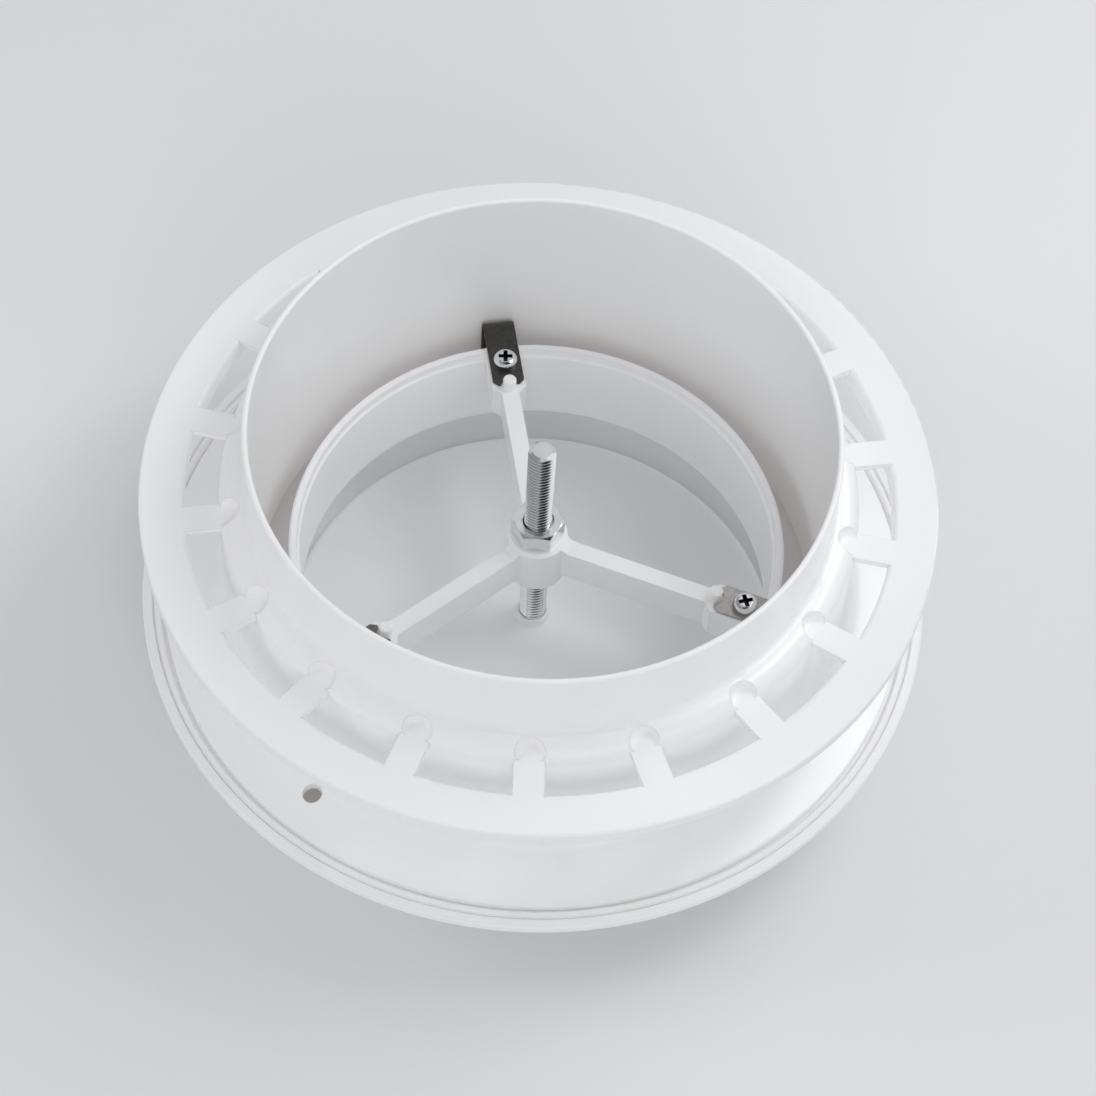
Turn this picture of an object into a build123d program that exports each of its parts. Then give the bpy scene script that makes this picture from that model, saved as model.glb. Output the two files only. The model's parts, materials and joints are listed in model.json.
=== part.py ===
from build123d import *
import os
from math import cos, radians, sqrt, tan

# Disc valve for a 125 mm air duct, in millimetres.
# Z points into the duct, and Z = 0 is the plane that the disc's rim stands on.

# Disc
disc_overlap = 3.9
disc_wall = 2.0
disc_rim_height = 3.3
disc_rise = 8.0
disc_edge_round = 2.2
disc_collar_radius = 3.7
disc_collar_height = 1.5
disc_collar_round = 0.4
hub_radius = 5.5
hub_bottom = 2.4
hub_floor = 2.1

# Threaded spindle and its nut, both for an M6 thread
spindle_radius = 2.95
spindle_length = 68.0
spindle_chamfer = 0.9
socket_clearance = 0.05
guide_clearance = 0.08
nut_across_flats = 10.0
nut_height = 4.7
nut_chamfer_angle = 30.0
nut_countersink = 0.45

# Valve body: throat ring, domed front ring and its rim
opening = 12.0
clip_channel = 7.1
ring_wall = 2.3
ring_height = 24.7
step_width = 0.55
step_depth = 1.8
nozzle_round = 4.0
front_overhang = 1.6
front_wall = 2.0
dome_rise = 6.0
edge_width = 1.2
edge_rise = 1.2
rim_height = 9.0
rim_width = 4.0
rim_chamfer = 0.4
seam_inset = 2.3
seam_width = 0.5
seam_depth = 0.6
seat_height = 7.7
seat_width = 3.0
root_round = 1.5

# Spider of the valve body: boss, spokes, clip seats and pegs
clip_count = 3
clip_angle = 102.0
boss_radius = 6.6
boss_height = 12.2
nut_seat_radius = 5.8
nut_seat_rise = 1.6
nut_seat_slope = 2.0
pad_rise = 1.0
pad_width = 7.6
pad_reach = 1.9
spoke_width = 3.9
spoke_height = 8.3
spoke_root_round = 0.8
peg_radius = 1.5
peg_height = 2.8
peg_inset = 10.3
peg_round = 0.5

# Spring clips and their screws
clip_width = 7.0
clip_thickness = 0.6
clip_notch_clearance = 0.35
clip_inset = 0.4
clip_corner = 1.1
clip_wall_gap = 0.4
clip_bend = 2.2
clip_arm = 14.0
clip_tail = 4.5
clip_tail_lean = 2.0
clip_tail_bend = 4.0
screw_inset = 3.7
screw_radius = 1.45
screw_length = 9.0
screw_point = 1.6
head_radius = 2.65
head_height = 2.1
head_round = 1.3
recess_length = 3.0
recess_width = 0.95
recess_depth = 1.5
screw_clearance = 0.05
screw_hole_clearance = 0.3

# Mounting ring: spigot, shoulder, skirt and ceiling plate
neck_radius = 61.8
neck_wall = 1.3
neck_height = 20.7
neck_lip_round = 0.55
tail_clearance = 4.5
shoulder_rise = 2.6
shoulder_round = 4.0
crease_round = 1.4
skirt_wall = 1.8
skirt_lean = 0.8
skirt_foot_round = 5.0
rim_gap = 0.7
plate_slope = 15.0
plate_edge = 1.9
plate_edge_round = 0.5
fixing_inset = 7.9
fixing_radius = 2.0
fixing_count = 2
fixing_angle = 234.0

# Slotted flange of the mounting ring and the tabs that carry it
flange_rise = 37.0
flange_width = 9.4
flange_thickness = 2.1
flange_edge = 3.3
flange_edge_round = 0.5
window_width = 7.4
lip_wall = 1.5
lip_height = 4.6
lip_round = 1.0
tab_count = 18
tab_angle = 11.5
tab_width = 6.3
tab_thickness = 1.35
pocket_round = 1.5

# Heights that follow from the sizes above
front_z = disc_rim_height + opening
ring_top = front_z + ring_height
rim_top = front_z + rim_height
seat_z = front_z + seat_height
pad_top = ring_top + pad_rise
boss_top = pad_top + nut_seat_rise
boss_bottom = boss_top - boss_height
flange_top = seat_z + flange_rise
neck_top = flange_top + neck_height
shoulder_top = flange_top + shoulder_rise

# Radii that follow from the sizes above
neck_bore = neck_radius - neck_wall
shoulder_start = neck_radius + crease_round
skirt_radius = shoulder_start + shoulder_round
window_radius = skirt_radius + window_width
flange_radius = window_radius + flange_width
front_radius = flange_radius + front_overhang
rim_inner = front_radius - rim_width
plate_radius = rim_inner - rim_gap
fixing_circle = plate_radius - fixing_inset
ring_radius = neck_bore - clip_channel
throat_radius = ring_radius - ring_wall
disc_radius = throat_radius + disc_overlap
screw_circle = throat_radius - screw_inset
peg_circle = throat_radius - peg_inset
pad_inner = peg_circle - pad_reach
clip_face = neck_bore - clip_wall_gap - clip_thickness


def dome_back(radius, foot, reach):
    """Height of the front ring's back at a radius: an arc parallel to the domed front face."""
    dome_radius = (reach**2 + dome_rise**2) / (2 * dome_rise)
    inner = dome_radius - front_wall
    return front_z + dome_radius - sqrt(inner**2 - (radius - foot) ** 2)


def plate_height(radius):
    """Height of the ceiling plate's upper face, which falls towards its edge."""
    return seat_z + plate_edge + (plate_radius - radius) * tan(radians(plate_slope))


def export(part, name):
    """Names a finished piece and writes it to its own file."""
    part.label = name
    export_step(part, f"parts/{name}.step")


os.makedirs("parts", exist_ok=True)

# Disc: a thin shallow cone with a turned-down rim, a short collar round the spindle and a blind hub below it
with BuildPart() as valve_disc:
    apex = disc_rim_height + disc_rise
    slope = disc_rise / disc_radius
    under_rim = disc_rim_height - disc_wall + slope * disc_wall
    under_hub = apex - disc_wall - slope * hub_radius
    collar_top = apex + disc_collar_height
    collar_foot = apex - slope * disc_collar_radius
    with BuildSketch(Plane.XZ):
        with BuildLine():
            FilletPolyline(
                (0, collar_top),
                (disc_collar_radius, collar_top),
                (disc_collar_radius, collar_foot),
                (disc_radius, disc_rim_height),
                (disc_radius, 0),
                (disc_radius - disc_wall, 0),
                (disc_radius - disc_wall, under_rim),
                (hub_radius, under_hub),
                (hub_radius, hub_bottom),
                (0, hub_bottom),
                radius=[
                    0,
                    disc_collar_round,
                    disc_collar_round,
                    disc_edge_round,
                    disc_wall / 4,
                    disc_wall / 4,
                    disc_wall / 4,
                    disc_wall,
                    disc_wall / 4,
                    0,
                ],
                close=True,
            )
        make_face()
    revolve(axis=Axis.Z)
    with Locations((0, 0, collar_top)):
        Hole(spindle_radius + socket_clearance, depth=collar_top - hub_bottom - hub_floor)

# Spindle: the plain rod that the thread is cut on, standing on the hub's floor
spindle_foot = hub_bottom + hub_floor
with BuildPart() as threaded_spindle:
    with BuildSketch(Plane.XY.offset(spindle_foot)):
        Circle(spindle_radius)
    extrude(amount=spindle_length)
    ends = threaded_spindle.edges().filter_by(GeomType.CIRCLE).sort_by(Axis.Z)
    chamfer(ends[-1], spindle_chamfer)

# Nut: a hexagon with its corners turned off at both ends, seated on the boss
with BuildPart() as lock_nut:
    with BuildSketch(Plane.XY.offset(boss_top)):
        RegularPolygon(nut_across_flats / 2, 6, major_radius=False)
        Circle(spindle_radius + guide_clearance, mode=Mode.SUBTRACT)
    extrude(amount=nut_height)
    corner = nut_across_flats / 2 / cos(radians(30))
    corner_drop = (corner - nut_across_flats / 2) * tan(radians(nut_chamfer_angle))
    with BuildSketch(Plane.XZ):
        Polygon(
            (0, boss_top),
            (nut_across_flats / 2, boss_top),
            (corner, boss_top + corner_drop),
            (corner, boss_top + nut_height - corner_drop),
            (nut_across_flats / 2, boss_top + nut_height),
            (0, boss_top + nut_height),
            align=None,
        )
    revolve(axis=Axis.Z, mode=Mode.INTERSECT)
    mouths = lock_nut.edges().filter_by(GeomType.CIRCLE).sort_by(SortBy.RADIUS)[:2]
    chamfer(mouths, nut_countersink)

# Valve body: the spider first, then the throat ring and domed front ring round it in one section
with BuildPart() as valve_body:
    pad_outer = throat_radius + ring_wall / 2
    pad_corner = (pad_width - spoke_width) / 2
    with BuildSketch(Plane.XY.offset(boss_top)) as spider:
        Circle(boss_radius)
        with PolarLocations(pad_outer / 2, clip_count, start_angle=clip_angle):
            Rectangle(pad_outer, spoke_width)
        roots = spider.vertices().filter_by(lambda v: Vector(v.X, v.Y).length < boss_radius * 1.01)
        fillet(roots, spoke_root_round)
    extrude(amount=-nut_seat_rise - spoke_height)
    with BuildSketch(Plane.XY.offset(boss_top)):
        Circle(boss_radius)
    extrude(amount=-boss_height)
    with BuildSketch(Plane.XZ):
        Polygon(
            (0, boss_bottom),
            (pad_outer * 2, boss_bottom),
            (pad_outer * 2, pad_top),
            (nut_seat_radius + nut_seat_slope, pad_top),
            (nut_seat_radius, boss_top),
            (0, boss_top),
            align=None,
        )
    revolve(axis=Axis.Z, mode=Mode.INTERSECT)
    with BuildSketch(Plane.XY.offset(pad_top)):
        with PolarLocations(0, clip_count, start_angle=clip_angle):
            Polygon(
                (pad_inner, -spoke_width / 2),
                (pad_inner + pad_corner, -pad_width / 2),
                (pad_outer, -pad_width / 2),
                (pad_outer, pad_width / 2),
                (pad_inner + pad_corner, pad_width / 2),
                (pad_inner, spoke_width / 2),
                align=None,
            )
    extrude(amount=-spoke_height)
    dome_foot = throat_radius + nozzle_round
    dome_end = front_radius - edge_width
    reach = dome_end - dome_foot
    seat_inner = rim_inner - seat_width
    seam_radius = front_radius - seam_inset
    middle = (seat_inner + dome_foot) / 2
    step_z = ring_top - step_depth - step_width
    with BuildSketch(Plane.XZ):
        with BuildLine():
            throat = Line((throat_radius, step_z), (throat_radius, front_z + nozzle_round))
            nozzle = TangentArc(throat @ 1, (dome_foot, front_z), tangent=(0, -1))
            dome = TangentArc(nozzle @ 1, (dome_end, front_z + dome_rise), tangent=(1, 0))
            edge = TangentArc(dome @ 1, (front_radius, front_z + dome_rise + edge_rise), tangent=dome % 1)
            rim = Polyline(
                edge @ 1,
                (front_radius, rim_top - rim_chamfer),
                (front_radius - rim_chamfer, rim_top),
                (seam_radius + seam_width / 2, rim_top),
                (seam_radius, rim_top - seam_depth),
                (seam_radius - seam_width / 2, rim_top),
                (rim_inner + rim_chamfer, rim_top),
                (rim_inner, rim_top - rim_chamfer),
                (rim_inner, seat_z),
                (seat_inner, seat_z),
                (seat_inner, dome_back(seat_inner, dome_foot, reach)),
            )
            back = ThreePointArc(
                rim @ 1,
                (middle, dome_back(middle, dome_foot, reach)),
                (dome_foot, front_z + front_wall),
            )
            root = Line(back @ 1, (ring_radius + root_round, front_z + front_wall))
            root_arc = TangentArc(root @ 1, (ring_radius, front_z + front_wall + root_round), tangent=(-1, 0))
            Polyline(
                root_arc @ 1,
                (ring_radius, ring_top - rim_chamfer),
                (ring_radius - rim_chamfer, ring_top),
                (throat_radius + step_width, ring_top),
                (throat_radius + step_width, ring_top - step_depth),
                throat @ 0,
            )
        make_face()
    revolve(axis=Axis.Z)
    with BuildSketch(Plane.XY.offset(pad_top)):
        with PolarLocations(peg_circle, clip_count, start_angle=clip_angle):
            Circle(peg_radius)
    extrude(amount=peg_height)
    fillet(valve_body.faces().group_by(Axis.Z)[-1].edges(), peg_round)
    with Locations((0, 0, boss_top)):
        Hole(spindle_radius + guide_clearance, depth=boss_height)
    with BuildSketch(Plane.XY.offset(pad_top)):
        with PolarLocations(screw_circle, clip_count, start_angle=clip_angle):
            Circle(screw_radius + screw_clearance)
    extrude(amount=-screw_length, mode=Mode.SUBTRACT)

# Spring clip: a strip over the clip seat, bent down beside the spigot's wall, with a notch for the peg
with BuildPart() as spring_clip:
    clip_start = peg_circle + clip_inset
    with BuildSketch(Plane.XZ):
        with BuildLine():
            inner_face = FilletPolyline(
                (clip_start, pad_top),
                (clip_face, pad_top),
                (clip_face, pad_top - clip_arm),
                (clip_face - clip_tail_lean, pad_top - clip_arm - clip_tail),
                radius=[clip_bend, clip_tail_bend],
            )
            offset(inner_face, amount=clip_thickness, side=Side.LEFT)
        make_face()
    extrude(amount=clip_width / 2, both=True)
    ends = spring_clip.edges().filter_by(Axis.Z).group_by(Axis.X)[0]
    chamfer(ends, clip_corner)
    with BuildSketch(Plane.XY.offset(pad_top)):
        with Locations((peg_circle, 0)):
            Circle(peg_radius + clip_notch_clearance)
        with Locations((screw_circle, 0)):
            Circle(screw_radius + screw_hole_clearance)
    extrude(amount=clip_thickness, mode=Mode.SUBTRACT)

# Clip screw: a pan head with a cross recess, its shank in the clip seat
with BuildPart() as clip_screw:
    head_z = pad_top + clip_thickness
    tip_z = head_z - screw_length
    with BuildSketch(Plane.XZ):
        with BuildLine():
            FilletPolyline(
                (screw_circle, head_z + head_height),
                (screw_circle + head_radius, head_z + head_height),
                (screw_circle + head_radius, head_z),
                (screw_circle + screw_radius, head_z),
                (screw_circle + screw_radius, tip_z + screw_point),
                (screw_circle, tip_z),
                radius=[0, head_round, 0, 0, 0, 0],
                close=True,
            )
        make_face()
    revolve(axis=Axis((screw_circle, 0, 0), (0, 0, 1)))
    with BuildSketch(Plane.XY.offset(head_z + head_height)):
        with Locations((screw_circle, 0)):
            Rectangle(recess_length, recess_width)
            Rectangle(recess_width, recess_length)
    extrude(amount=-recess_depth, mode=Mode.SUBTRACT)

# Mounting ring: spigot, shoulder, skirt and ceiling plate in one section, then the slotted flange
with BuildPart() as mounting_ring:
    cavity_top = flange_top - tab_thickness
    tail_z = front_z + front_wall + tail_clearance
    plate_drop = skirt_wall / cos(radians(plate_slope))
    foot_radius = skirt_radius + skirt_lean
    under_radius = foot_radius - skirt_wall
    seat_inner = rim_inner - seat_width
    with BuildSketch(Plane.XZ):
        with BuildLine():
            FilletPolyline(
                (neck_bore, neck_top),
                (neck_radius, neck_top),
                (neck_radius, shoulder_top),
                (skirt_radius, shoulder_top),
                (foot_radius, plate_height(foot_radius)),
                (plate_radius, plate_height(plate_radius)),
                (plate_radius, seat_z),
                (seat_inner, seat_z),
                (seat_inner, plate_height(seat_inner) - plate_drop),
                (under_radius, plate_height(under_radius) - plate_drop),
                (skirt_radius - skirt_wall, cavity_top),
                (neck_radius, cavity_top),
                (neck_radius, tail_z),
                (neck_bore, tail_z),
                radius=[
                    neck_lip_round,
                    neck_lip_round,
                    crease_round,
                    shoulder_round,
                    skirt_foot_round,
                    plate_edge_round,
                    0,
                    0,
                    0,
                    skirt_foot_round - skirt_wall,
                    0,
                    0,
                    neck_lip_round,
                    neck_lip_round,
                ],
                close=True,
            )
        make_face()
    revolve(axis=Axis.Z)
    with BuildSketch(Plane.XZ):
        with BuildLine():
            FilletPolyline(
                (window_radius, flange_top),
                (flange_radius, flange_top),
                (flange_radius, flange_top - flange_edge),
                (flange_radius - lip_wall, flange_top - flange_edge),
                (flange_radius - lip_wall, flange_top - flange_thickness),
                (window_radius + lip_wall, flange_top - flange_thickness),
                (window_radius + lip_wall, flange_top - lip_height),
                (window_radius, flange_top - lip_height),
                radius=[
                    lip_round,
                    flange_edge_round,
                    flange_edge_round,
                    0,
                    flange_edge_round,
                    flange_edge_round,
                    0,
                    0,
                ],
                close=True,
            )
        make_face()
    revolve(axis=Axis.Z)
    tab_inner = neck_radius - neck_wall / 2
    tab_outer = window_radius + lip_wall * 2 / 3
    with BuildSketch(Plane.XY.offset(flange_top)):
        with PolarLocations((tab_inner + tab_outer) / 2, tab_count, start_angle=tab_angle):
            Rectangle(tab_outer - tab_inner, tab_width)
    extrude(amount=-tab_thickness)
    pocket_centre = shoulder_start + tab_width / 2
    with BuildPart(mode=Mode.PRIVATE) as pocket:
        with BuildSketch(Plane.XY.offset(flange_top)):
            with Locations((pocket_centre, 0)):
                Circle(tab_width / 2)
            with Locations((pocket_centre + tab_width / 2, 0)):
                Rectangle(tab_width, tab_width)
        extrude(amount=shoulder_rise)
        floor_edges = pocket.faces().sort_by(Axis.Z)[0].edges().sort_by(Axis.X)
        fillet(floor_edges[:-1], pocket_round)
    with PolarLocations(0, tab_count, start_angle=tab_angle):
        add(pocket.part, mode=Mode.SUBTRACT)
    with BuildSketch(Plane.XY.offset(seat_z)):
        with PolarLocations(fixing_circle, fixing_count, start_angle=fixing_angle):
            Circle(fixing_radius)
    extrude(amount=skirt_foot_round * 2, mode=Mode.SUBTRACT)

export(mounting_ring.part, "mounting_ring")
export(valve_body.part, "valve_body")
export(threaded_spindle.part, "threaded_spindle")
export(lock_nut.part, "lock_nut")
export(valve_disc.part, "valve_disc")
for number in range(clip_count):
    turn = clip_angle + number * 360 / clip_count
    export(spring_clip.part.rotate(Axis.Z, turn), f"spring_clip_{number + 1}")
    export(clip_screw.part.rotate(Axis.Z, turn), f"clip_screw_{number + 1}")
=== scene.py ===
# %% [markdown]
# # A disc valve for an air duct
# This lesson dresses the solid model of a ceiling valve: a white mounting ring with a slotted flange, a valve body
# that clips into it, and a disc on a threaded spindle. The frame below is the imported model. Every piece made here
# lies in its coordinates, so nothing has to be fitted by eye.

# %% Load the frame
import json
import math

import bmesh
import bpy
import numpy as np
from mathutils import Matrix, Vector


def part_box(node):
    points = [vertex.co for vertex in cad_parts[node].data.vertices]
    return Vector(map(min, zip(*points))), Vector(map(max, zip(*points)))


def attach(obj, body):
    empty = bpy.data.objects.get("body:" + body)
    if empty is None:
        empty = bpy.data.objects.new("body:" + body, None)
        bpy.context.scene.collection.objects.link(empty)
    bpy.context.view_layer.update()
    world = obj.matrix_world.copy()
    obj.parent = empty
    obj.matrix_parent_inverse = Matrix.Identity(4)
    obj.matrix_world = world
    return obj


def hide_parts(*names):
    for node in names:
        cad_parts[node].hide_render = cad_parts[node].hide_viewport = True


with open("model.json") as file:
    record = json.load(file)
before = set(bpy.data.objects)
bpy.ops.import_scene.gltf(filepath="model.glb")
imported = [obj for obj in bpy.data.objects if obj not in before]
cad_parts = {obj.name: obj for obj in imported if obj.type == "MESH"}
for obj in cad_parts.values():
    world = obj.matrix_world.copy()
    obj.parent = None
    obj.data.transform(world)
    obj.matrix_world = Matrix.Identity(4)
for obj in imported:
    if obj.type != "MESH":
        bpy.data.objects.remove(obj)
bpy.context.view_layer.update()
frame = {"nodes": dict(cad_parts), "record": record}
MM = 0.001
mounts = {mount["name"]: mount for mount in frame["record"]["mounts"]}
print("nodes:", ", ".join(sorted(frame["nodes"])))

# %% [markdown]
# ## Sizes that the pieces share
# A size that the frame holds is read from it and never typed again. The flange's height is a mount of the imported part,
# and a piece that stands in for a node takes its reach from the ends of that node's box. All sizes here are in
# millimetres, and MM turns them into Blender's metres.

# %% Read the shared sizes
def node_box(node):
    """A node's lowest and highest corners in millimetres, rounded to the micron."""
    return tuple([round(v / MM, 3) for v in corner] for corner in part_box(node))


FLANGE_TOP = mounts["flange_face"]["pos_m"][2] / MM
print(f"flange top at {FLANGE_TOP} mm")

# %% [markdown]
# ## Camera
# The round edges in the photograph fix the view: a long lens, looking down at about 56 degrees, with the camera
# turned a little about its own axis so that the valve leans. A Track To constraint could aim the camera but not lean
# it, so the camera's three axes are worked out from those angles and written into its matrix.

# %% Place the camera
PHOTO_PIXELS = 1096
FOCAL_PIXELS = 3054
SENSOR_WIDTH = 36.0
ELEVATION = math.radians(55.6)
ROLL = math.radians(3.92)
DISTANCE = 641.6
AIM_RIGHT, AIM_UP = 1.62, -13.21
CLIP_NEAR, CLIP_FAR = 0.01, 20


def place_camera():
    """A camera whose picture centre lies beside the flange's centre by the two aim distances."""
    back = Vector((0, -math.cos(ELEVATION), math.sin(ELEVATION)))
    level = Vector((1, 0, 0))
    rise = back.cross(level)
    right = level * math.cos(ROLL) + rise * math.sin(ROLL)
    up = rise * math.cos(ROLL) - level * math.sin(ROLL)
    aim = Vector((0, 0, FLANGE_TOP)) + right * AIM_RIGHT + up * AIM_UP
    lens = bpy.data.cameras.new("photo_camera")
    lens.sensor_width = SENSOR_WIDTH
    lens.lens = FOCAL_PIXELS / PHOTO_PIXELS * SENSOR_WIDTH
    lens.clip_start, lens.clip_end = CLIP_NEAR, CLIP_FAR
    camera = bpy.data.objects.new("photo_camera", lens)
    turn = Matrix((right, up, back)).transposed().to_4x4()
    camera.matrix_world = Matrix.Translation((aim + back * DISTANCE) * MM) @ turn
    bpy.context.scene.collection.objects.link(camera)
    bpy.context.scene.camera = camera
    return camera


print("camera at", [round(v, 3) for v in place_camera().location])

# %% [markdown]
# ## Nodes by code
# The world and all the finishes are node trees, and building those line by line gets long. Four helpers keep it short:
# one sets or links a socket, one adds a node with its inputs, one mixes two colours, and one gives a soft step.

# %% Node helpers
MIX_SHARE, MIX_FIRST, MIX_SECOND, MIX_RESULT = 0, 6, 7, 2


def socket_link(tree, value, socket):
    """Sets a socket to a value, or links another socket to it."""
    if isinstance(value, bpy.types.NodeSocket):
        tree.links.new(value, socket)
    else:
        socket.default_value = value


def place(tree, kind, settings=None, values=(), **inputs):
    """Adds a node with its settings. Inputs go by position or by name, where an underscore stands for a space."""
    node = tree.nodes.new(kind)
    for name, value in (settings or {}).items():
        setattr(node, name, value)
    for position, value in enumerate(values):
        socket_link(tree, value, node.inputs[position])
    for name, value in inputs.items():
        socket_link(tree, value, node.inputs[name.replace("_", " ")])
    return node


def mixed(tree, share, first, second):
    """A colour between two, by a share of the second."""
    node = place(tree, "ShaderNodeMix", {"data_type": "RGBA"})
    for socket, value in ((MIX_SHARE, share), (MIX_FIRST, first), (MIX_SECOND, second)):
        socket_link(tree, value, node.inputs[socket])
    return node.outputs[MIX_RESULT]


def eased(tree, value, low, high):
    """A smooth step from 0 at the low value to 1 at the high one."""
    step = {"interpolation_type": "SMOOTHSTEP"}
    return place(tree, "ShaderNodeMapRange", step, Value=value, From_Min=low, From_Max=high).outputs["Result"]


print("node helpers are ready")

# %% [markdown]
# ## The light around the valve
# White plastic needs soft light from a large area, or its curves go flat. The world gives that: a level that is a
# little higher from above than from the sides. What polished metal mirrors is a matter of its own. Zinc in an evenly
# pale room looks like paint, so for glossy rays the room is pale on the right, shaded on the left and dark in one round
# opening at the front, like the gap in a light tent where the camera stands. Camera rays see a plain pale backdrop.

# %% Light the world
BACKDROP = (0.62, 0.63, 0.65, 1)
PALE = (0.92, 0.93, 0.94, 1)
SHADED = (0.3, 0.3, 0.31, 1)
DARK = (0.015, 0.015, 0.017, 1)
SHADED_TO, PALE_FROM = -0.45, 0.35
OPENING_TOWARDS = Vector((0.26, -0.34, 0.9)).normalized()
OPENING_ANGLE, OPENING_EDGE = 29, 6
WORLD_LOW, WORLD_HIGH = (0.38, 0.38, 0.38, 1), (0.48, 0.48, 0.48, 1)
WORLD_TURN = 0.0, 0.7


def tent(tree, towards, axes):
    """What mirrors see of the room: shaded to pale from left to right, with the dark opening."""
    facing = place(tree, "ShaderNodeVectorMath", {"operation": "DOT_PRODUCT"}, (towards, OPENING_TOWARDS))
    near, far = (math.cos(math.radians(OPENING_ANGLE + side * OPENING_EDGE)) for side in (-1, 1))
    walls = mixed(tree, eased(tree, axes["X"], SHADED_TO, PALE_FROM), SHADED, PALE)
    return mixed(tree, eased(tree, facing.outputs["Value"], far, near), walls, DARK)


def light_world():
    """Even light for surfaces, a pale backdrop for the camera, and the tent for mirrors."""
    world = bpy.data.worlds.new("studio")
    bpy.context.scene.world = world
    world.use_nodes = True
    tree = world.node_tree
    tree.nodes.clear()
    path = place(tree, "ShaderNodeLightPath").outputs
    towards = place(tree, "ShaderNodeTexCoord").outputs["Generated"]
    axes = place(tree, "ShaderNodeSeparateXYZ", values=(towards,)).outputs
    surround = mixed(tree, path["Is Glossy Ray"], BACKDROP, tent(tree, towards, axes))
    larger = {"operation": "MAXIMUM"}
    seen = place(tree, "ShaderNodeMath", larger, (path["Is Camera Ray"], path["Is Glossy Ray"]))
    seen = place(tree, "ShaderNodeMath", larger, (seen.outputs[0], path["Is Transmission Ray"]))
    level = mixed(tree, eased(tree, axes["Z"], *WORLD_TURN), WORLD_LOW, WORLD_HIGH)
    light = place(tree, "ShaderNodeBackground", Color=level, Strength=1.0)
    room = place(tree, "ShaderNodeBackground", Color=surround, Strength=1.0)
    mix = place(tree, "ShaderNodeMixShader", values=(seen.outputs[0], light.outputs[0], room.outputs[0]))
    place(tree, "ShaderNodeOutputWorld", Surface=mix.outputs[0])
    return world


bpy.context.scene.view_settings.view_transform = "Standard"
print("world with", len(light_world().node_tree.nodes), "nodes")

# %% [markdown]
# ## Floor
# The valve stands on its disc, so the floor touches the disc's lowest point. It is one large pale sheet. When the disc
# travels, the real valve rises over its table. Here the mounting ring keeps its place instead, so the floor rides on
# the disc and the two stay together.

# %% Lay the floor
FLOOR_SIZE = 6.0
FLOOR_COLOUR = (0.8, 0.81, 0.83, 1)
FLOOR_ROUGHNESS = 0.9


def lay_floor():
    """One large pale sheet that the disc stands on, and that goes with the disc when it travels."""
    mesh = bpy.data.meshes.new("studio_floor")
    half = FLOOR_SIZE / 2
    mesh.from_pydata([(-half, -half, 0), (half, -half, 0), (half, half, 0), (-half, half, 0)], [], [(0, 1, 2, 3)])
    floor = bpy.data.objects.new("studio_floor", mesh)
    bpy.context.scene.collection.objects.link(floor)
    paint = bpy.data.materials.new("pale_floor")
    paint.use_nodes = True
    shader = paint.node_tree.nodes["Principled BSDF"]
    shader.inputs["Base Color"].default_value = FLOOR_COLOUR
    shader.inputs["Roughness"].default_value = FLOOR_ROUGHNESS
    mesh.materials.append(paint)
    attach(floor, "disc_and_spindle")


lay_floor()
print("floor of", FLOOR_SIZE, "metres")

# %% [markdown]
# ## Lamps
# A few wide lamps give each side its own share of light. The two on the right also show in the metal, as the bright
# edge of the spindle. The others would hide the dark opening, so mirrors don't show them.

# %% Hang the lamps
# Each lamp: its place and its size in metres, its power in watts, and whether mirrors show it.
LAMPS = {
    "box_left": ((-0.9, 0.0, 0.55), (0.5, 0.5), 1.8, False),
    "box_front": ((0.15, -1.0, 0.7), (0.6, 0.6), 3.0, False),
    "strip_front": ((-0.2, -1.0, 0.1), (0.6, 0.08), 0.3, False),
    "box_right": ((0.45, 0.1, 0.75), (0.3, 0.3), 1.1, True),
    "box_back_right": ((0.3, 0.25, 0.4), (0.25, 0.25), 0.5, True),
}


def soft_lamp(name, place_at, size, power, mirrored):
    """An oblong area lamp that faces the valve."""
    lamp = bpy.data.lights.new(name, "AREA")
    lamp.shape = "RECTANGLE"
    lamp.size, lamp.size_y = size
    lamp.energy = power
    holder = bpy.data.objects.new(name, lamp)
    direction = Vector((0, 0, FLANGE_TOP * MM)) - Vector(place_at)
    holder.matrix_world = Matrix.Translation(place_at) @ direction.to_track_quat("-Z", "Y").to_matrix().to_4x4()
    holder.visible_camera = False
    holder.visible_glossy = mirrored
    bpy.context.scene.collection.objects.link(holder)


for name, settings in LAMPS.items():
    soft_lamp(name, *settings)
print("lamps:", ", ".join(LAMPS))

# %% [markdown]
# ## Tools for turned and cut shapes
# The spindle and the screws are turned parts. A section is a list of corners, each with a radius, like a drawing, and
# turning it gives clean rows of quads. A slab is an outline with its top edge rolled over, and it serves as a cutter.

# %% Sections, turned shells and slabs
LEAST_ARC_STEPS = 4
ROLL_LEVELS = 5
POLE = 1e-6


def rounded(corners, spacing=0.5):
    """A closed outline from (a, b, radius) corners, where each radius becomes an arc with points at the spacing."""
    points = []
    for i, (a, b, radius) in enumerate(corners):
        here = Vector((a, b))
        if radius == 0:
            points.append(here)
            continue
        back = (Vector(corners[i - 1][:2]) - here).normalized()
        ahead = (Vector(corners[(i + 1) % len(corners)][:2]) - here).normalized()
        half = back.angle(ahead) / 2
        centre = here + (back + ahead).normalized() * radius / math.sin(half)
        start = here + back * radius / math.tan(half) - centre
        turn = start.angle_signed(here + ahead * radius / math.tan(half) - centre)
        count = max(LEAST_ARC_STEPS, math.ceil(radius * abs(turn) / spacing))
        for k in range(count + 1):
            points.append(centre + Matrix.Rotation(-turn * k / count, 2) @ start)
    return np.array([tuple(point) for point in points])


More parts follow.
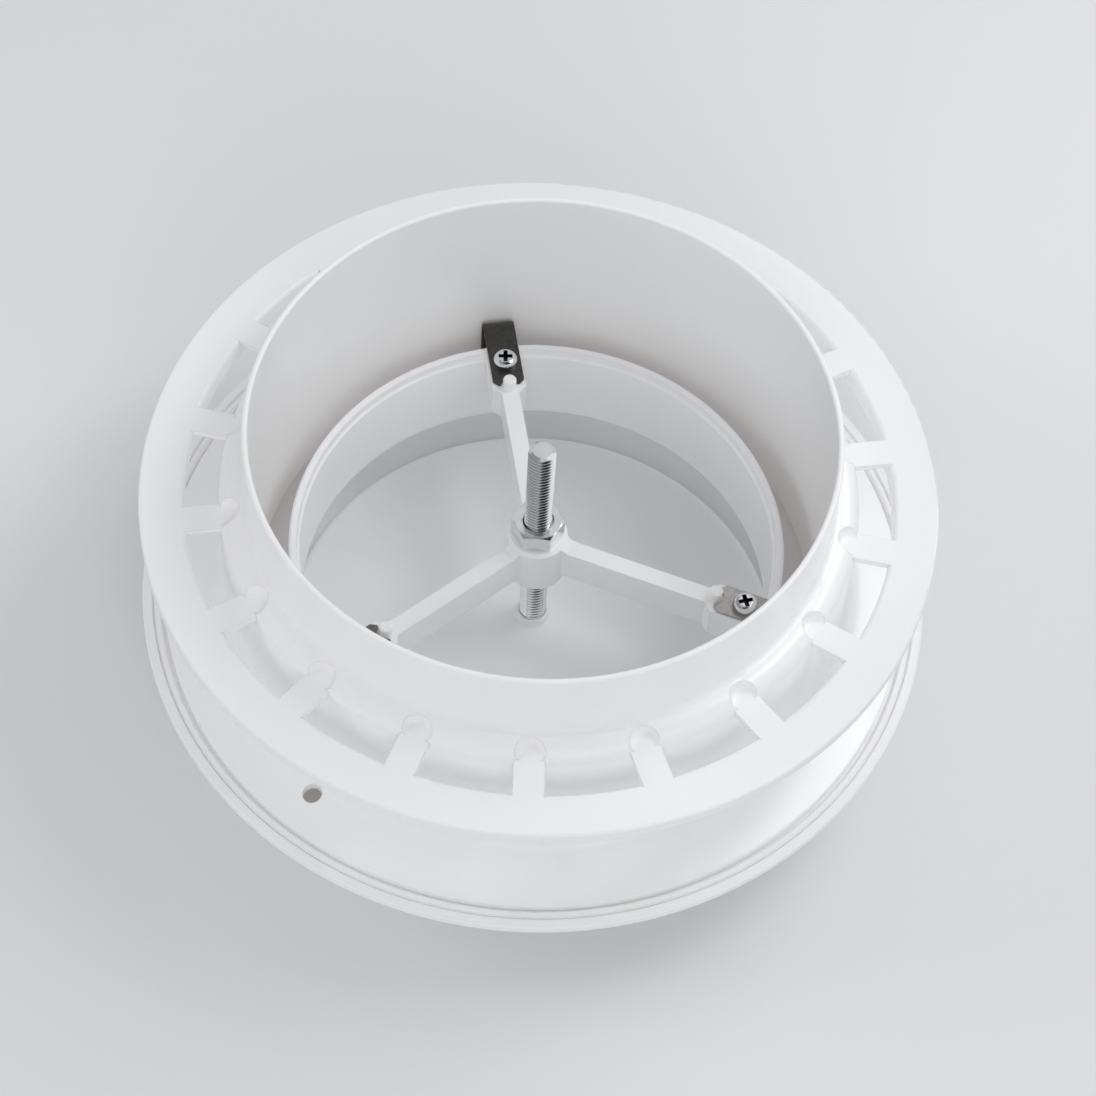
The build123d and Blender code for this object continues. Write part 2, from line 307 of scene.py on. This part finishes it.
def turned(section, steps):
    """Turns a closed section of (radius, height) points about the Z axis, in so many steps."""
    columns = np.arange(steps) * 2 * math.pi / steps
    rows = [np.c_[r * np.cos(columns), r * np.sin(columns), np.full(steps, height)] for r, height in section]
    faces = []
    for i in range(len(section)):
        j = (i + 1) % len(section)
        if section[i][0] < POLE and section[j][0] < POLE:
            continue
        for k in range(steps):
            m = (k + 1) % steps
            faces.append((i * steps + k, i * steps + m, j * steps + m, j * steps + k))
    return np.concatenate(rows), faces


def slab(corners, low, high, roll, spacing):
    """An upright slab over a plan outline of corners, with its top edge rolled over."""
    outline = rounded(corners, spacing)
    ahead = np.roll(outline, -1, 0) - outline
    normal = np.c_[ahead[:, 1], -ahead[:, 0]]
    normal /= np.linalg.norm(normal, axis=1)[:, None]
    normal = normal + np.roll(normal, 1, 0)
    normal /= (np.linalg.norm(normal, axis=1) ** 2 / 2)[:, None]
    area = np.sum(outline[:, 0] * np.roll(outline[:, 1], -1) - outline[:, 1] * np.roll(outline[:, 0], -1))
    outward = normal * np.sign(area)
    bend = np.linspace(0, math.pi / 2, ROLL_LEVELS)
    levels = [(0, low)] + [(roll * (1 - math.cos(b)), high - roll + roll * math.sin(b)) for b in bend]
    verts = np.concatenate([np.c_[outline - outward * inset, np.full(len(outline), z)] for inset, z in levels])
    width = len(outline)
    faces = [tuple(range(width))[::-1], tuple(range(len(verts) - width, len(verts)))]
    for i in range(len(levels) - 1):
        for k in range(width):
            m = (k + 1) % width
            faces.append((i * width + k, i * width + m, (i + 1) * width + m, (i + 1) * width + k))
    return verts, faces


def moved(shell, turn, shift=(0, 0, 0)):
    """A copy of a shell, shifted and then turned about the Z axis by degrees."""
    a = math.radians(turn)
    spin = np.array([[math.cos(a), -math.sin(a), 0], [math.sin(a), math.cos(a), 0], [0, 0, 1]])
    return (shell[0] + np.array(shift)) @ spin.T, shell[1]


print("shape tools are ready")

# %% [markdown]
# ## From shells to finished pieces
# A shell becomes an object with its poles welded. Joining and cutting use Blender's boolean modifier with the manifold
# solver, which keeps the meshes closed and is quick. A finished piece is shaded smooth up to its sharp edges and is
# parented to the body it rides on, and the node of the model that it stands in for is hidden.

# %% Objects, booleans and dressing
WELD, SLIVER = 1e-7, 1e-8
SHARP_ANGLE = math.radians(32)


def solid(name, shell):
    """An object from a shell in millimetres, with poles closed and normals pointing out."""
    points, faces = shell
    mesh = bpy.data.meshes.new(name)
    mesh.from_pydata((points * MM).tolist(), [], faces)
    work = bmesh.new()
    work.from_mesh(mesh)
    bmesh.ops.remove_doubles(work, verts=work.verts, dist=WELD)
    bmesh.ops.dissolve_degenerate(work, edges=work.edges, dist=SLIVER)
    bmesh.ops.recalc_face_normals(work, faces=work.faces)
    work.to_mesh(mesh)
    work.free()
    item = bpy.data.objects.new(name, mesh)
    bpy.context.scene.collection.objects.link(item)
    return item


def combine(base, tool, operation):
    """Cuts a tool out of a base or keeps what they share, and removes the tool."""
    modifier = base.modifiers.new(operation.lower(), "BOOLEAN")
    modifier.object = tool
    modifier.operation = operation
    modifier.solver = "MANIFOLD"
    result = bpy.data.meshes.new_from_object(base.evaluated_get(bpy.context.evaluated_depsgraph_get()))
    base.modifiers.clear()
    base.data = result
    bpy.data.objects.remove(tool)


def dress(item, material, body, replaced):
    """Shades a finished piece smooth up to its sharp edges, gives it its material and seats it on its body."""
    item.data.materials.clear()
    item.data.materials.append(material)
    item.data.shade_smooth()
    item.data.set_sharp_from_angle(angle=SHARP_ANGLE)
    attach(item, body)
    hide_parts(*replaced)
    print(f"{item.name}: {len(item.data.polygons)} faces on {body}")


print("pieces are sharp above", round(math.degrees(SHARP_ANGLE)), "degrees")

# %% [markdown]
# ## Surface effects
# Two small node groups hold what the finishes share. Moulded plastic is never a perfect mirror: the melt leaves a
# slow waviness, a fine skin and a faint change of shade. Thin white walls also let some light through, so a closed
# channel is brown-grey and never black. Scattering light inside the walls would give that and is slow, so a painted
# glow where the surroundings are close stands for it: the plastic itself gives off a little light in closed places.
# Metal has blotches where the plating took unevenly, and a fine grain.
# Both groups read object coordinates, so the pattern stays on the piece when it moves.

# %% Helpers for node groups
NOISE_LOW, NOISE_HIGH = 0.3, 0.7
COLOUR, NUMBER = "NodeSocketColor", "NodeSocketFloat"


def new_group(name, inputs, outputs):
    """An empty shader group with its named sockets, and its input and output nodes."""
    group = bpy.data.node_groups.new(name, "ShaderNodeTree")
    for label, kind, value in inputs:
        socket = group.interface.new_socket(label, in_out="INPUT", socket_type=kind)
        socket.default_value = value
    for label, kind in outputs:
        group.interface.new_socket(label, in_out="OUTPUT", socket_type=kind)
    return group, group.nodes.new("NodeGroupInput").outputs, group.nodes.new("NodeGroupOutput").inputs


def noise(group, scale, detail):
    """A noise value over the piece's own coordinates."""
    at = place(group, "ShaderNodeTexCoord").outputs["Object"]
    return place(group, "ShaderNodeTexNoise", Vector=at, Scale=scale, Detail=detail).outputs["Fac"]


def ranged(group, value, low, high):
    """Maps a noise value, which stays about between the two noise levels, to a range."""
    ends = {"To_Min": low, "To_Max": high}
    node = place(group, "ShaderNodeMapRange", Value=value, From_Min=NOISE_LOW, From_Max=NOISE_HIGH, **ends)
    return node.outputs["Result"]


def shade_and_roughness(group, given, made, second_colour, shade_noise, rough_noise):
    """Links what both skins put out: a colour between two, and a roughness with a spread."""
    shade = mixed(group, ranged(group, shade_noise, 0.0, 1.0), given["Colour"], given[second_colour])
    group.links.new(shade, made["Colour"])
    spread = ranged(group, rough_noise, 0.0, given["Roughness Spread"])
    rough = place(group, "ShaderNodeMath", {"operation": "ADD"}, (given["Roughness"], spread))
    group.links.new(rough.outputs[0], made["Roughness"])


# %% Skin of moulded plastic
FLOW_SCALE, WAVE_SCALE, SKIN_SCALE = 22.0, 110.0, 2600.0
SKIN_SHARE = 0.06
CLOSENESS_SAMPLES = 1
NO_LIGHT = (0, 0, 0, 1)


def moulded_skin():
    """Shade, roughness and waviness of moulded plastic, and a painted glow in closed places for light soaking through
    it.
    """
    group, given, made = new_group(
        "moulded_skin",
        [
            ("Colour", COLOUR, (0.86, 0.86, 0.855, 1)),
            ("Deep Colour", COLOUR, (0.82, 0.82, 0.81, 1)),
            ("Roughness", NUMBER, 0.3),
            ("Roughness Spread", NUMBER, 0.06),
            ("Painted Glow Colour", COLOUR, (0.883, 0.808, 0.75, 1)),
            ("Painted Glow Reach", NUMBER, 0.02),
        ],
        [("Colour", COLOUR), ("Roughness", NUMBER), ("Height", NUMBER), ("Painted Cavity Glow", COLOUR)],
    )
    flow = noise(group, FLOW_SCALE, 3.0)
    wave = noise(group, WAVE_SCALE, 1.0)
    skin = noise(group, SKIN_SCALE, 2.0)
    shade_and_roughness(group, given, made, "Deep Colour", flow, skin)
    height = place(group, "ShaderNodeMath", {"operation": "MULTIPLY_ADD"}, (skin, SKIN_SHARE, wave))
    group.links.new(height.outputs[0], made["Height"])
    # Painted glow: where the surroundings are close, the plastic gives off a weak light of its own.
    few = {"samples": CLOSENESS_SAMPLES}
    open_share = place(group, "ShaderNodeAmbientOcclusion", few, Distance=given["Painted Glow Reach"]).outputs["AO"]
    group.links.new(mixed(group, open_share, given["Painted Glow Colour"], NO_LIGHT), made["Painted Cavity Glow"])
    return group


MOULDED_SKIN = moulded_skin()
print(MOULDED_SKIN.name, "with", len(MOULDED_SKIN.nodes), "nodes")

# %% Skin of plated or blued metal
GRAIN_SCALE = 5200.0


def metal_skin():
    """Blotches and fine grain of a plated or blued metal surface."""
    group, given, made = new_group(
        "metal_skin",
        [
            ("Colour", COLOUR, (0.7, 0.7, 0.7, 1)),
            ("Blotch Colour", COLOUR, (0.6, 0.6, 0.6, 1)),
            ("Blotch Scale", NUMBER, 300.0),
            ("Roughness", NUMBER, 0.25),
            ("Roughness Spread", NUMBER, 0.15),
        ],
        [("Colour", COLOUR), ("Roughness", NUMBER), ("Height", NUMBER)],
    )
    blotch = noise(group, given["Blotch Scale"], 4.0)
    grain = noise(group, GRAIN_SCALE, 2.0)
    shade_and_roughness(group, given, made, "Blotch Colour", blotch, grain)
    group.links.new(grain, made["Height"])
    return group


METAL_SKIN = metal_skin()
print(METAL_SKIN.name, "with", len(METAL_SKIN.nodes), "nodes")

# %% [markdown]
# ## White plastic
# The three mouldings are glossy white plastic. Tools leave every edge a little round, and a bevel on each mesh would
# cost many faces. The Bevel node rolls the shading over instead, by a third of a millimetre here. Numbers that are the
# same all over are set on the shader itself, and only what varies comes from the group. The painted glow in closed
# places is weak by the shader's strength and not by a dark colour: below a strength of a half, Cycles doesn't treat
# each face of the plastic as a lamp, and the render is quicker.

# %% Mix the plastic
EDGE_SAMPLES = 1
# Strength of the painted glow in closed places.
PAINTED_GLOW_STRENGTH = 0.06


def finish(name, group, bump_mm, edge_mm, constants, **values):
    """A material with rolled edges, whose colour, roughness and bump come from a group with its own values."""
    material = bpy.data.materials.new(name)
    material.use_nodes = True
    tree = material.node_tree
    shader = tree.nodes["Principled BSDF"]
    skin = place(tree, "ShaderNodeGroup", {"node_tree": group}, **values)
    tree.links.new(skin.outputs["Colour"], shader.inputs["Base Color"])
    tree.links.new(skin.outputs["Roughness"], shader.inputs["Roughness"])
    edge = place(tree, "ShaderNodeBevel", {"samples": EDGE_SAMPLES}, Radius=edge_mm * MM).outputs["Normal"]
    bump = place(tree, "ShaderNodeBump", Distance=bump_mm * MM, Height=skin.outputs["Height"], Normal=edge)
    tree.links.new(bump.outputs["Normal"], shader.inputs["Normal"])
    # The painted glow of closed places goes to the shader's emission.
    if "Painted Cavity Glow" in skin.outputs:
        tree.links.new(skin.outputs["Painted Cavity Glow"], shader.inputs["Emission Color"])
    for label, value in constants.items():
        shader.inputs[label].default_value = value
    return material


WHITE_PLASTIC = finish(
    "white_plastic",
    MOULDED_SKIN,
    bump_mm=0.05,
    edge_mm=0.3,
    constants={"IOR": 1.5, "Coat Weight": 0.25, "Coat Roughness": 0.12, "Emission Strength": PAINTED_GLOW_STRENGTH},
    Colour=(0.938, 0.943, 0.953, 1),
    Deep_Colour=(0.918, 0.923, 0.931, 1),
    Roughness=0.3,
)
print("made", WHITE_PLASTIC.name)

# %% [markdown]
# ## Metals
# The clips are blued spring steel, and each clip has its own depth of one brown tint: darkest at the back and
# lightest on the right, which is painted shade and light on copies of one material. The spindle, the nut and the
# screws are bright zinc plate. The thread's teeth are finer than a rolled edge, so its zinc has none. The recess of the
# screws gets a dark material, which is painted shade.

# %% Plate and blue the metals
# Each clip's level of the brown tint: painted shade on the back clip, painted light on the right one.
CLIP_PAINTED_LEVELS = {"spring_clip_1": 0.1, "spring_clip_2": 0.22, "spring_clip_3": 0.52}
CLIP_TINT, CLIP_BLOTCH_TINT = (1.0, 0.97, 0.93), (0.72, 0.69, 0.65)
ALL_METAL = {"Metallic": 1.0}


def tinted(tint, shade):
    """A colour with a tint's balance at a level of shade."""
    return (*(shade * share for share in tint), 1)


CLIP_FINISHES = {
    node: finish(
        f"blued_{node}",
        METAL_SKIN,
        bump_mm=0.004,
        edge_mm=0.12,
        constants=ALL_METAL,
        Colour=tinted(CLIP_TINT, shade),
        Blotch_Colour=tinted(CLIP_BLOTCH_TINT, shade),
        Blotch_Scale=900.0,
        Roughness=0.3,
    )
    for node, shade in CLIP_PAINTED_LEVELS.items()
}
ZINC_PLATE, ZINC_THREAD = (
    finish(
        name,
        METAL_SKIN,
        bump_mm=0.003,
        edge_mm=edge,
        constants=ALL_METAL,
        Colour=(0.84, 0.845, 0.85, 1),
        Blotch_Colour=(0.76, 0.77, 0.79, 1),
        Roughness=0.13,
        Roughness_Spread=0.08,
    )
    for name, edge in (("zinc_plate", 0.12), ("zinc_thread", 0.0))
)
# Painted shade: a dark metal for the faces inside the screws' cross recess.
PAINTED_RECESS_SHADE = finish(
    "painted_recess_shade",
    METAL_SKIN,
    bump_mm=0.004,
    edge_mm=0.05,
    constants=ALL_METAL,
    Colour=(0.06, 0.058, 0.055, 1),
    Blotch_Colour=(0.03, 0.03, 0.03, 1),
    Roughness=0.45,
)
print("materials:", len(bpy.data.materials))

# %% [markdown]
# ## Spindle
# The spindle is a steel rod with an M6 thread over its whole length, bright zinc. A bump map can't give the saw-tooth
# edge of a thread against the light, so the thread is a mesh: one ribbon of quads that climbs a pitch on each turn.
# Its two ragged ends are closed to a point beyond the rod, and the part shared with a plain chamfered rod is kept.

# %% Thread the spindle
PITCH = 1.0
CREST = node_box("threaded_spindle")[1][0]
ROOT = CREST - 0.56 * PITCH
THREAD_STEPS, ROD_STEPS = 56, 96
TURNS_BELOW, TURNS_SPARE, TIP_TURNS = 3, 5, 4
SPINDLE_CHAMFER, ROD_MARGIN = 0.9, 0.3
# One tooth from crest to crest: the share of the pitch, and the radius there.
TOOTH = [
    (0.0, CREST - 0.02),
    (0.0625, CREST),
    (0.125, CREST - 0.02),
    (0.45, ROOT + 0.05),
    (0.5, ROOT + 0.012),
    (0.5625, ROOT),
    (0.625, ROOT + 0.012),
    (0.675, ROOT + 0.05),
]


def thread_points(low, turns):
    """The ribbon's points, row by row across the teeth, where each row climbs one pitch."""
    points = []
    for row in range(turns * len(TOOTH) + 1):
        turn, step = divmod(row, len(TOOTH))
        across, radius = TOOTH[step]
        start = low + (turn - TURNS_BELOW + across) * PITCH
        for k in range(THREAD_STEPS):
            a = 2 * math.pi * k / THREAD_STEPS
            points.append((radius * math.cos(a), radius * math.sin(a), start + PITCH * k / THREAD_STEPS))
    return points


def thread_ribbon(low, high):
    """A closed shell with a right-hand thread, reaching beyond both heights."""
    turns = math.ceil((high - low) / PITCH) + TURNS_SPARE
    per_turn, last = len(TOOTH), THREAD_STEPS - 1
    rows = turns * per_turn
    points = thread_points(low, turns)

    def at(row, k):
        return row * THREAD_STEPS + k

    faces = [(at(i, k), at(i, k + 1), at(i + 1, k + 1), at(i + 1, k)) for i in range(rows) for k in range(last)]
    for i in range(rows - per_turn):
        faces.append((at(i, last), at(i + per_turn, 0), at(i + per_turn + 1, 0), at(i + 1, last)))
    foot = [at(0, k) for k in range(THREAD_STEPS)] + [at(i, 0) for i in range(per_turn, 0, -1)]
    head = [at(rows, k) for k in range(THREAD_STEPS)] + [at(i, last) for i in range(rows - 1, rows - per_turn - 1, -1)]
    for loop, height in ((foot, low - TIP_TURNS * PITCH), (head, high + TIP_TURNS * PITCH)):
        tip = len(points)
        points.append((0, 0, height))
        faces += [(loop[k], loop[(k + 1) % len(loop)], tip) for k in range(len(loop))]
    return np.array(points), faces


spindle_low, spindle_high = (corner[2] for corner in node_box("threaded_spindle"))
rod_section = [
    (0, spindle_low, 0),
    (CREST + ROD_MARGIN, spindle_low, 0),
    (CREST + ROD_MARGIN, spindle_high - SPINDLE_CHAMFER - ROD_MARGIN, 0),
    (CREST - SPINDLE_CHAMFER, spindle_high, 0),
    (0, spindle_high, 0),
]
spindle = solid("spindle_thread", thread_ribbon(spindle_low, spindle_high))
combine(spindle, solid("plain_rod", turned(rounded(rod_section), ROD_STEPS)), "INTERSECT")
dress(spindle, ZINC_THREAD, "disc_and_spindle", ["threaded_spindle"])

# %% [markdown]
# ## Clip screws
# Each spring clip is held by a pan-head screw with a cross recess. The head is turned from a section and the cross is
# cut out of it. The faces inside the cut get a dark material of their own, which is painted shade in the recess. The
# three screws differ only in their place and in how far they were driven, so one function makes them all.

# %% Shape the head and the recess
SCREW_CIRCLE = 47.4
CLIP_ANGLE, CLIP_TURN = 102, 120
SCREW_TWISTS = (-8, 20, 35)
HEAD_RADIUS, HEAD_HEIGHT, HEAD_ROUND, HEAD_EDGE = 2.65, 2.1, 1.3, 0.15
SHANK_RADIUS, SHANK_POINT = 1.45, 1.6
SCREW_SPACING, SCREW_STEPS = 0.12, 72
RECESS_HALF, RECESS_ARM, RECESS_DEPTH = 1.55, 0.46, 1.5
RECESS_CORNER, RECESS_ROLL, RECESS_SPACING = 0.12, 0.05, 0.06
CUT_ABOVE = 1
screw_low, screw_high = (corner[2] for corner in node_box("clip_screw_1"))


def screw_shell():
    """The head and shank about the Z axis, closed at both poles."""
    head_low = screw_high - HEAD_HEIGHT
    section = [
        (0, screw_high, 0),
        (HEAD_RADIUS, screw_high, HEAD_ROUND),
        (HEAD_RADIUS, head_low, HEAD_EDGE),
        (SHANK_RADIUS, head_low, 0),
        (SHANK_RADIUS, screw_low + SHANK_POINT, 0),
        (0, screw_low, 0),
    ]
    return turned(rounded(section, SCREW_SPACING), SCREW_STEPS)


def cross_cutter():
    """A cross-shaped slab whose corners are slightly rounded."""
    quarter = [(RECESS_HALF, -RECESS_ARM), (RECESS_HALF, RECESS_ARM), (RECESS_ARM, RECESS_ARM)]
    corners = []
    for turn in range(4):
        for x, y in quarter:
            for _ in range(turn):
                x, y = -y, x
            corners.append((x, y, RECESS_CORNER))
    return slab(corners, screw_high - RECESS_DEPTH, screw_high + CUT_ABOVE, RECESS_ROLL, RECESS_SPACING)


print(f"screws from {screw_low} to {screw_high} mm")

# %% Make the clip screws
WALL_MARGIN, FLOOR_MARGIN, MOUTH_MARGIN = 0.1, 0.05, 0.1


def paint_recess_shade(screw, axis):
    """Paints the faces inside the cross dark, as shade in the recess."""
    screw.data.materials.append(PAINTED_RECESS_SHADE)
    floor, mouth = screw_high - RECESS_DEPTH - FLOOR_MARGIN, screw_high - MOUTH_MARGIN
    for face in screw.data.polygons:
        centre = face.center / MM
        inside = (centre.to_2d() - axis).length < RECESS_HALF + WALL_MARGIN
        if inside and floor < centre.z < mouth:
            face.material_index = 1


def clip_screw(number):
    """One screw at its clip, with its recess."""
    turn = CLIP_ANGLE + (number - 1) * CLIP_TURN
    shift = (SCREW_CIRCLE, 0, 0)
    screw = solid(f"cross_screw_{number}", moved(screw_shell(), turn, shift))
    cutter = moved(cross_cutter(), SCREW_TWISTS[number - 1])
    combine(screw, solid("cross", moved(cutter, turn, shift)), "DIFFERENCE")
    dress(screw, ZINC_PLATE, "valve_insert", [f"clip_screw_{number}"])
    a = math.radians(turn)
    paint_recess_shade(screw, Vector((SCREW_CIRCLE * math.cos(a), SCREW_CIRCLE * math.sin(a))))


for number in (1, 2, 3):
    clip_screw(number)

# %% [markdown]
# ## The other pieces
# The mouldings, the disc, the clips and the nut are right as they come from the solid model, so they stay and only get
# their finish.

# %% Dress the CAD nodes
SLOT_FINISHES = {"white_moulding": WHITE_PLASTIC, "zinc_plated_steel": ZINC_PLATE}
for part in frame["record"]["subparts"]:
    name = part["node"]
    mesh = frame["nodes"][name].data
    mesh.materials.clear()
    mesh.materials.append(CLIP_FINISHES.get(name) or SLOT_FINISHES[part["material_slot"]])
print("dressed", len(frame["nodes"]), "nodes")
